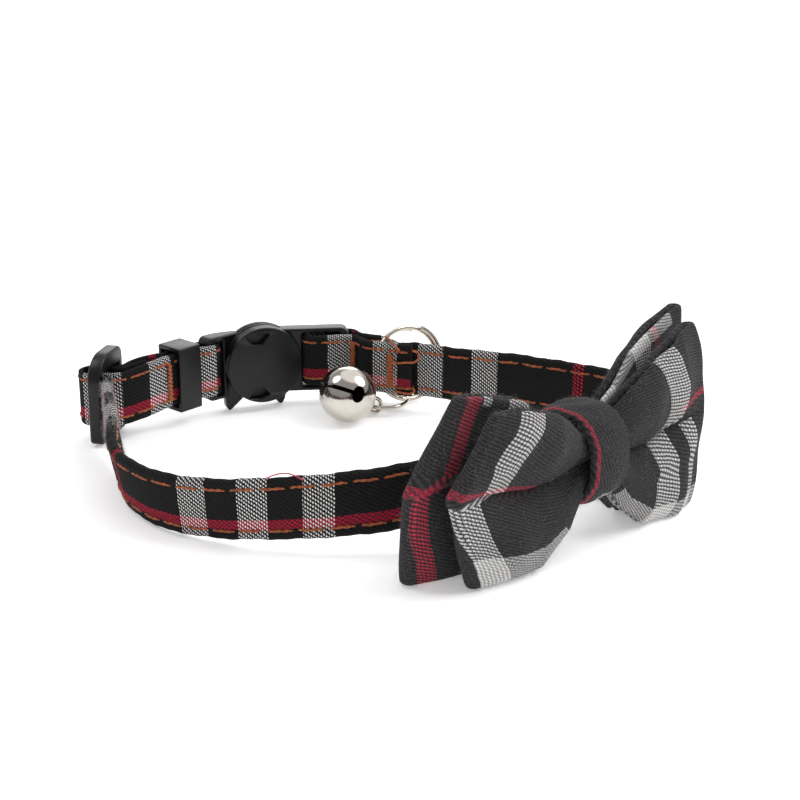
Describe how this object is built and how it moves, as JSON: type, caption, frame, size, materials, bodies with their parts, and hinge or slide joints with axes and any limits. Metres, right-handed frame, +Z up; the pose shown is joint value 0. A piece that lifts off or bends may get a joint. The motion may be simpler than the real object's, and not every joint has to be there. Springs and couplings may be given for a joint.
{
  "type": "pet collar",
  "caption": "Narrow plaid webbing collar with a breakaway buckle, strap adjuster, round bell on a split ring and a double fabric bow.",
  "frame": {"origin": "middle of the collar's floor box, on the surface it lies on", "axes": "+X along the longer side, from the slider towards the bow; +Y from the plain front run towards the buckle; +Z up"},
  "size_m": [0.1042, 0.0906, 0.0297],
  "materials": {
    "plaid_webbing": "twill weave, black with white bands and red lines, orange-brown stitching",
    "plaid_flannel": "brushed twill, charcoal with white bands and red lines",
    "black_plastic": "moulded, satin",
    "nickel": "nickel plated, polished"
  },
  "bodies": {
    "root": {"slider": "black_plastic", "keeper": "black_plastic", "buckle_base": "black_plastic", "buckle_disc": "black_plastic", "strap": "plaid_webbing", "split_ring": "nickel", "bell": "nickel", "bell_ball": "nickel", "jump_ring": "nickel", "bow_front": "plaid_flannel", "bow_back": "plaid_flannel", "bow_knot": "plaid_flannel"}
  },
  "joints": []
}
